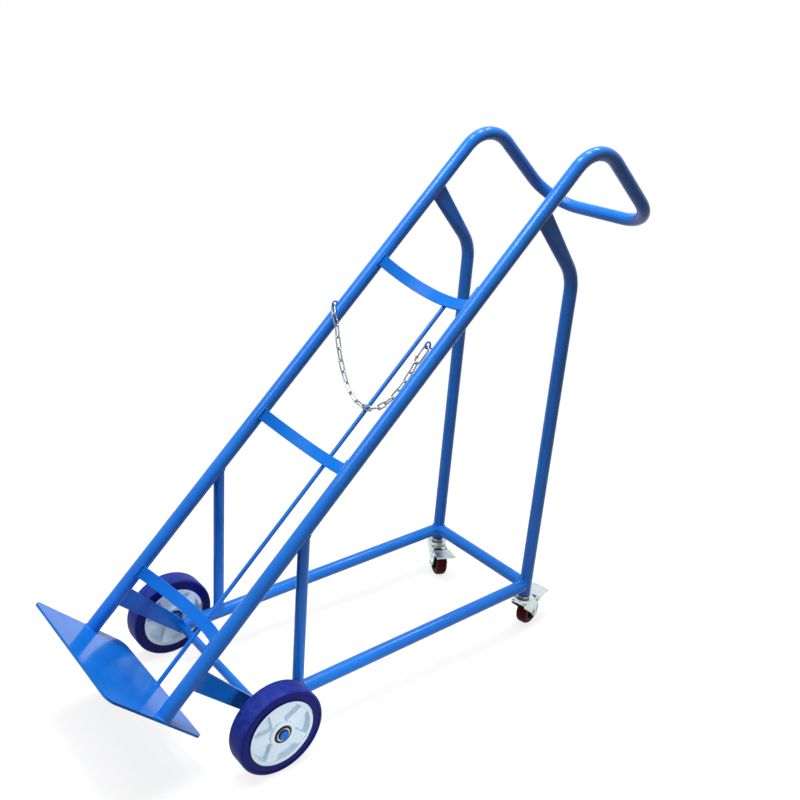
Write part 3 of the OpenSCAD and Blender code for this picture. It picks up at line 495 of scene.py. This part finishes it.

# %% [markdown]
# The hubs are moulded in a pale blue-grey plastic. The pockets between the spokes lie deeper than the rim,
# and painted shade darkens the colour towards the middle plane of the hub, broken up by fine specks.

# %% Pale hub
POCKET_FLOOR, POCKET_RIM = 0.003, 0.017
hub_low, hub_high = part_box("left_wheel_hub")
hub = Finish("pale_moulded_hub")
side = hub.math("ABSOLUTE", hub.axis(0))
offset = hub.math("ABSOLUTE", hub.math("SUBTRACT", side, (hub_low.x + hub_high.x) / 2))
# painted shade: 1 deep in the pockets, fading to 0 at the rim
deep_pocket_shade = hub.spread(offset, POCKET_FLOOR, POCKET_RIM, 1, 0)
specks = hub.spread(hub.noise(60, 6), 0.40, 0.70, 0.25, 1.0)
cloud = hub.spread(hub.noise(11, 3), 0.35, 0.65, 0, 1)
hub_tone = hub.blend(cloud, (0.70, 0.85, 0.96), (0.76, 0.89, 0.98))
# painted shade deep in the pockets, broken up by fine specks
pocket_shade_and_specks = hub.math("MULTIPLY", deep_pocket_shade, hub.math("MULTIPLY", specks, 0.55))
hub.set(Base_Color=hub.blend(pocket_shade_and_specks, hub_tone, (0.52, 0.63, 0.73)),
        Roughness=hub.spread(specks, 0, 1, 0.34, 0.52), Normal=hub.relief(hub.noise(520, 2), 0.00006, 0.5))
print("made", hub.material.name)

# %% [markdown]
# The casters run on dark maroon treads with black hubs, and black plugs close the leg ends.
# All are moulded, with a fine matt grain from the mould and paler scuffs.

# %% Maroon tread and black plastic
def moulded(name, colour, scuff, smooth, grain, shine):
    resin = Finish(name)
    rub = resin.spread(resin.noise(95, 6), 0.46, 0.72, 0, 1)
    resin.set(Base_Color=resin.blend(resin.math("MULTIPLY", rub, 0.55), colour, scuff),
              Roughness=resin.spread(rub, 0, 1, smooth, smooth + 0.22), Specular_IOR_Level=shine,
              Normal=resin.relief(resin.noise(grain, 3), 0.00012, 0.6))
    return resin.material


MAROON, MAROON_SCUFF = (0.074, 0.0042, 0.0052), (0.098, 0.014, 0.016)
BLACK, BLACK_SCUFF = (0.0105, 0.0105, 0.0120), (0.040, 0.041, 0.044)
caster_rubber = moulded("maroon_caster_tread", MAROON, MAROON_SCUFF, smooth=0.44, grain=700, shine=0.06)
black_plastic = moulded("black_moulded_plastic", BLACK, BLACK_SCUFF, smooth=0.36, grain=950, shine=0.22)
print("made", caster_rubber.name, "and", black_plastic.name)

# %% [markdown]
# ## Giving each solid its finish
# A finish belongs to a kind of piece, so the solids are sorted by the words in their names, and the
# first word that fits counts. What no word fits gets the blue paint of the tubes. Only the solid's
# own material slots are filled, which keeps its mesh as it came.

# %% Finishes by piece
FINISHES = [
    ("toe_plate", plate_paint), ("strap", strap_paint), ("tyre", tyre.material),
    ("wheel_hub", hub.material), ("caster_tread", caster_rubber), ("caster_hub", black_plastic),
    ("plug", black_plastic), ("circlips", black_steel), ("outer_rings", black_steel),
    ("balls", ground_steel), ("inner_rings", ground_steel), ("spacer", ground_steel),
    ("rivets", ground_steel), ("hook_pin", ground_steel), ("washers", fork_zinc), ("caster", fork_zinc),
    ("king_nut", fork_zinc), ("pedal", fork_zinc), ("chain_links", chain_zinc), ("hook", chain_zinc)]
for name, solid in solids.items():
    finish = next((paint for word, paint in FINISHES if word in name), tube_paint)
    if not solid.material_slots:
        raise RuntimeError(name + " has no material slot")
    for slot in solid.material_slots:
        slot.material = finish
print("finishes on", len(solids), "solids")

# %% [markdown]
# ## Weld beads
# The frame is bent tube and flat bar, joined by welds that show as rippled beads round every
# joint. Each bead follows the line where two pieces meet, so the work is in two parts: find that
# line, then run a bead along it. Where a tube meets another tube the line is a saddle. Every
# straight line on the skin of the branch tube is followed until it first reaches the other tube.

# %% Lines where pieces meet
RING_STEPS, SADDLE_STEPS = 48, 72


def first_reach(start, along, point, axis, radius):
    """How far a line runs before it comes within radius of an axis."""
    across_start = (start - point) - axis * (start - point).dot(axis)
    across_along = along - axis * along.dot(axis)
    a, b = across_along.length_squared, across_start.dot(across_along)
    inside = max(b * b - a * (across_start.length_squared - radius * radius), 0.0)
    return (-b - math.sqrt(inside)) / a


def hoop(centre, axis, radius, steps=RING_STEPS, half=0.0):
    """Ring round an axis, drawn out by half both ways in the fore and aft plane."""
    axis = axis.normalized()
    one = axis.cross(Vector((1, 0, 0))) if abs(axis.x) < 0.9 else Vector((0, 1, 0))
    two = axis.cross(one).normalized()
    ring = []
    for k in range(steps):
        turn = 2 * math.pi * (k + 0.5) / steps
        end = one * (half if math.cos(turn) > 0 else -half)
        ring.append(centre + end + (one * math.cos(turn) + two * math.sin(turn)) * radius)
    return ring


def saddle(start, along, radius, mains, half=0.0):
    """Closed line where a tube from start first reaches any of the main tubes."""
    along = along.normalized()
    return [skin + along * min(first_reach(skin, along, *main) for main in mains(skin))
            for skin in hoop(start, along, radius, SADDLE_STEPS, half)]


print("seam helpers ready")

# %% Seams of the tubes
LEG_CORNER, LEG_JOINT = 0.961, 1.295
FLAT_R, FLAT_HALF = 0.004, math.pi * 0.006
STRUT_R, STRUT_BACK, STRUT_MIDDLE = 0.0125, 0.096, 0.25
BASE_FRONT, BASE_REAR = Vector((0, AXLE.y, 0.104)), Vector((0, CROSS.y, 0.130))
UPWARD, SIDEWAYS = Vector((0, 0, 1)), Vector((1, 0, 0))
cross = (Vector((0, CROSS.y, CROSS.z)), SIDEWAYS, TUBE_R)
closed, open_lines = [], []
for across in (-RAIL_X, RAIL_X):
    outward = Vector((math.copysign(1, across), 0, 0))
    rail = (rail_point(across, 0, 0), UP_RAIL, TUBE_R)
    leg = (Vector((across, CROSS.y, 0)), UPWARD, TUBE_R)
    base = (BASE_FRONT + SIDEWAYS * across, (BASE_REAR - BASE_FRONT).normalized(), TUBE_R)
    corner = Vector((across, CROSS.y, LEG_CORNER))
    leg_top = rail_point(across, 0, LEG_JOINT) - corner
    strut = Vector((across, AXLE.y + STRUT_BACK, STRUT_MIDDLE))
    half_cross = Vector((across * 0.5, CROSS.y, CROSS.z))
    closed.append(saddle(corner, leg_top, FLAT_R, lambda skin: [rail], FLAT_HALF))
    closed.append(saddle(strut, UPWARD, STRUT_R, lambda skin: [rail]))
    closed.append(saddle(strut, -UPWARD, STRUT_R, lambda skin: [base]))
    closed.append(saddle(base[0], base[1], TUBE_R,
                         lambda skin: [leg, cross] if abs(skin.x) < RAIL_X else [leg]))
    closed.append(saddle(half_cross, outward, TUBE_R, lambda skin: [leg]))
    closed.append(hoop(rail_point(across, 0, 0), UP_RAIL, TUBE_R))
print(len(closed), "round seams on the tubes")

# %% Seams of the rod, straps, arms and eyes
ROD_OFF, ROD_R, ROD_PLAY = 0.097, 0.005, 0.00015
ROD_WELD_X, ROD_WELD_IN, ROD_WELD_RISES = 0.0040, 0.0040, (-0.0125, 0, 0.0115)
STRAP_HALF, STRAP_THICK, STRAP_END = 0.014, 0.005, 0.004
STRAP_UP = (0.163, 0.605, 1.065)
ARM_HALF, ARM_WELD_OFF, ARM_WELD_HALF, AXLE_R = 0.003, 0.0157, 0.0215, 0.010
EYE_X, EYE_OFF, EYE_UP, EYE_WELD_HALF = -0.178, -0.0157, 0.912, 0.006
chord = RAIL_X - TUBE_R
depth = ROD_OFF - ROD_R - ROD_PLAY - STRAP_END
STRAP_R = (chord * chord + depth * depth) / (2 * depth)
STRAP_MID = ROD_OFF - ROD_R - ROD_PLAY - STRAP_R


def arc_on_rail(radius):
    """Where a strap's arc of this radius meets the rail, across and off the rails."""
    gap = math.hypot(RAIL_X, STRAP_MID)
    along = (radius ** 2 - TUBE_R ** 2 + gap ** 2) / (2 * gap)
    high = math.sqrt(max(radius ** 2 - along ** 2, 0))
    one = ((along * RAIL_X - high * -STRAP_MID) / gap,
           STRAP_MID + (along * -STRAP_MID + high * RAIL_X) / gap)
    two = ((along * RAIL_X + high * -STRAP_MID) / gap,
           STRAP_MID + (along * -STRAP_MID - high * RAIL_X) / gap)
    return min(one, two, key=lambda spot: spot[0])


closed.append(hoop(rail_point(0, ROD_OFF, 0), UP_RAIL, ROD_R))
outer, inner = arc_on_rail(STRAP_R), arc_on_rail(STRAP_R - STRAP_THICK)
strap_end = ((outer, -STRAP_HALF), (outer, STRAP_HALF), (inner, STRAP_HALF), (inner, -STRAP_HALF))
for up in STRAP_UP:
    for flank in (-ROD_WELD_X, ROD_WELD_X):
        open_lines.append([rail_point(flank, ROD_OFF - ROD_WELD_IN, up + rise) for rise in ROD_WELD_RISES])
    for hand in (-1, 1):
        closed.append([rail_point(hand * spot[0], spot[1], up + rise) for spot, rise in strap_end])
for hand in (-1, 1):
    for face in (-ARM_HALF, ARM_HALF):
        across = hand * RAIL_X + face
        open_lines.append([rail_point(across, ARM_WELD_OFF, AXLE_UP + rise)
                           for rise in (-ARM_WELD_HALF, 0, ARM_WELD_HALF)])
        closed.append(hoop(Vector((across, AXLE.y, AXLE.z)), SIDEWAYS, AXLE_R))
open_lines.append([rail_point(EYE_X, EYE_OFF, EYE_UP + rise) for rise in (-EYE_WELD_HALF, 0, EYE_WELD_HALF)])
print(len(closed), "closed and", len(open_lines), "open seams")

# %% [markdown]
# A bead could be swept by hand ring by ring. Geometry Nodes does it by rule: the line becomes a
# curve, the curve is cut into short steps, and a small circle is swept along it, which swells and
# shrinks with the length as the welder's pool did. The noise has a fixed place, so each run gives
# the same bead.

# %% Weld bead tree
BEAD_SIDES, RIPPLE_MEAN = 10, 0.86
WANDER_PER_METRE, WANDER_SHARE = 95, 0.30
bead_tree, source, result = new_tree("weld_bead", [
    ("Bead Radius", "NodeSocketFloat", 0.0023), ("Ripple Pitch", "NodeSocketFloat", 0.0032),
    ("Ripple Depth", "NodeSocketFloat", 0.13), ("Step", "NodeSocketFloat", 0.0008),
    ("Paint", "NodeSocketMaterial", None)])
to_curve = add(bead_tree, "GeometryNodeMeshToCurve")
steps = add(bead_tree, "GeometryNodeResampleCurve", mode="LENGTH")
along = add(bead_tree, "GeometryNodeSplineParameter")
phase = add(bead_tree, "ShaderNodeMath", operation="DIVIDE")
turns = add(bead_tree, "ShaderNodeMath", operation="MULTIPLY")
turns.inputs[1].default_value = 2 * math.pi
wave = add(bead_tree, "ShaderNodeMath", operation="SINE")
ripple = add(bead_tree, "ShaderNodeMath", operation="MULTIPLY_ADD")
ripple.inputs[2].default_value = RIPPLE_MEAN
wander = add(bead_tree, "ShaderNodeTexNoise")
wander.inputs["Scale"].default_value = WANDER_PER_METRE
width = add(bead_tree, "ShaderNodeMath", operation="MULTIPLY_ADD")
width.inputs[1].default_value = WANDER_SHARE
pool = add(bead_tree, "GeometryNodeCurvePrimitiveCircle")
pool.inputs["Resolution"].default_value = BEAD_SIDES
sweep = add(bead_tree, "GeometryNodeCurveToMesh")
sweep.inputs["Fill Caps"].default_value = True
soft = add(bead_tree, "GeometryNodeSetShadeSmooth")
real = add(bead_tree, "GeometryNodeRealizeInstances")
dress = add(bead_tree, "GeometryNodeSetMaterial")
wire(bead_tree, (source.outputs["Geometry"], to_curve.inputs["Mesh"]),
     (to_curve.outputs["Curve"], steps.inputs["Curve"]), (source.outputs["Step"], steps.inputs["Length"]),
     (along.outputs["Length"], phase.inputs[0]), (source.outputs["Ripple Pitch"], phase.inputs[1]),
     (phase.outputs[0], turns.inputs[0]), (turns.outputs[0], wave.inputs[0]),
     (wave.outputs[0], ripple.inputs[0]), (source.outputs["Ripple Depth"], ripple.inputs[1]),
     (wander.outputs["Fac"], width.inputs[0]), (ripple.outputs[0], width.inputs[2]),
     (source.outputs["Bead Radius"], pool.inputs["Radius"]), (steps.outputs["Curve"], sweep.inputs["Curve"]),
     (pool.outputs["Curve"], sweep.inputs["Profile Curve"]), (width.outputs[0], sweep.inputs["Scale"]),
     (sweep.outputs["Mesh"], soft.inputs["Geometry"]), (soft.outputs["Geometry"], real.inputs["Geometry"]),
     (real.outputs["Geometry"], dress.inputs["Geometry"]),
     (source.outputs["Paint"], dress.inputs["Material"]),
     (dress.outputs["Geometry"], result.inputs["Geometry"]))
print("weld bead tree with", len(bead_tree.nodes), "nodes")

# %% [markdown]
# The lines go into one mesh of edges, the tree turns them into beads, and the evaluated result
# is copied to a plain mesh. Only that plain mesh is kept, because an export has no use for a tree.

# %% Beads on the frame
def line_mesh(name, rings, runs):
    points, edges = [], []
    for line, shut in [(ring, True) for ring in rings] + [(run, False) for run in runs]:
        first = len(points)
        points.extend(line)
        edges.extend((first + k, first + k + 1) for k in range(len(line) - 1))
        if shut:
            edges.append((first + len(line) - 1, first))
    mesh = bpy.data.meshes.new(name)
    mesh.from_pydata(points, edges, [])
    return mesh


def grown(name, mesh, tree, **inputs):
    """A plain mesh object from a tree run over a mesh."""
    piece = bpy.data.objects.new(name, mesh)
    bpy.context.scene.collection.objects.link(piece)
    modifier = piece.modifiers.new(tree.name, "NODES")
    modifier.node_group = tree
    for label, value in inputs.items():
        set_input(modifier, label.replace("_", " "), value)
    made = bpy.data.meshes.new_from_object(piece.evaluated_get(bpy.context.evaluated_depsgraph_get()))
    piece.modifiers.remove(modifier)
    piece.data = made
    made.name = name
    return piece


seams = line_mesh("frame_weld_beads", closed, open_lines)
beads = grown("frame_weld_beads", seams, bead_tree, Paint=tube_paint)
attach(beads, "frame")
print("beads:", len(beads.data.polygons), "faces")

# %% [markdown]
# ## Chain link welds
# Each link is a bent wire whose ends are butt welded on one long side, which leaves a small
# collar there. The links are found on the chain's own solid: a copy of its triangles is joined,
# split into loose shapes, and each shape's longest direction and width give its welded side.
# Width runs both ways, so a fixed rule picks the side, and each run welds the same one. One tree
# then places the same collar on every point.

# %% Where the links are welded
LINK_WIRE_R = 0.00175
copy = bmesh.new()
copy.from_mesh(solids["chain_links"].data)
bmesh.ops.remove_doubles(copy, verts=copy.verts, dist=JOIN_DISTANCE)
waiting, weld_spots, weld_lines = set(copy.verts), [], []
for start in copy.verts:
    if start not in waiting:
        continue
    waiting.remove(start)
    island, fresh = [], [start]
    while fresh:
        vert = fresh.pop()
        island.append(vert.co.copy())
        for edge in vert.link_edges:
            other = edge.other_vert(vert)
            if other in waiting:
                waiting.remove(other)
                fresh.append(other)
    spots = np.array(island)
    centre = spots.mean(0)
    long_way, wide_way, _ = np.linalg.svd(spots - centre, full_matrices=False)[2]
    if wide_way[np.abs(wide_way).argmax()] < 0:
        wide_way = -wide_way
    reach = np.abs((spots - centre) @ wide_way).max()
    weld_spots.append(Vector(centre + wide_way * (reach - LINK_WIRE_R)))
    weld_lines.append(Vector(long_way))
copy.free()
print(len(weld_spots), "links found")

# %% Collar tree
COLLAR_SIDES, COLLAR_RINGS, COLLAR_SWELL = 14, 8, 1.22
collar_tree, source, result = new_tree("link_weld_collar", [
    ("Wire Radius", "NodeSocketFloat", LINK_WIRE_R), ("Collar Length", "NodeSocketFloat", 0.0036),
    ("Paint", "NodeSocketMaterial", None)])
to_points = add(collar_tree, "GeometryNodeMeshToPoints")
heading = add(collar_tree, "GeometryNodeInputNamedAttribute", data_type="FLOAT_VECTOR")
heading.inputs["Name"].default_value = "wire_line"
turn = add(collar_tree, "FunctionNodeAlignRotationToVector", axis="Z")
ball = add(collar_tree, "GeometryNodeMeshUVSphere")
ball.inputs["Segments"].default_value, ball.inputs["Rings"].default_value = COLLAR_SIDES, COLLAR_RINGS
ball.inputs["Radius"].default_value = 1.0
wide = add(collar_tree, "ShaderNodeMath", operation="MULTIPLY")
wide.inputs[1].default_value = COLLAR_SWELL
half = add(collar_tree, "ShaderNodeMath", operation="MULTIPLY")
half.inputs[1].default_value = 0.5
size = add(collar_tree, "ShaderNodeCombineXYZ")
place = add(collar_tree, "GeometryNodeInstanceOnPoints")
soft = add(collar_tree, "GeometryNodeSetShadeSmooth")
real = add(collar_tree, "GeometryNodeRealizeInstances")
dress = add(collar_tree, "GeometryNodeSetMaterial")
wire(collar_tree, (source.outputs["Geometry"], to_points.inputs["Mesh"]),
     (to_points.outputs["Points"], place.inputs["Points"]),
     (heading.outputs["Attribute"], turn.inputs["Vector"]),
     (turn.outputs["Rotation"], place.inputs["Rotation"]), (ball.outputs["Mesh"], place.inputs["Instance"]),
     (source.outputs["Wire Radius"], wide.inputs[0]), (source.outputs["Collar Length"], half.inputs[0]),
     (wide.outputs[0], size.inputs["X"]), (wide.outputs[0], size.inputs["Y"]),
     (half.outputs[0], size.inputs["Z"]), (size.outputs["Vector"], place.inputs["Scale"]),
     (place.outputs["Instances"], soft.inputs["Geometry"]),
     (soft.outputs["Geometry"], real.inputs["Geometry"]),
     (real.outputs["Geometry"], dress.inputs["Geometry"]),
     (source.outputs["Paint"], dress.inputs["Material"]),
     (dress.outputs["Geometry"], result.inputs["Geometry"]))
spot_mesh = bpy.data.meshes.new("link_weld_collars")
spot_mesh.from_pydata(weld_spots, [], [])
wire_line = spot_mesh.attributes.new("wire_line", "FLOAT_VECTOR", "POINT")
wire_line.data.foreach_set("vector", np.array(weld_lines).ravel())
collars = grown("link_weld_collars", spot_mesh, collar_tree, Paint=chain_zinc)
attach(collars, "chain")
print("collars:", len(collars.data.polygons), "faces")
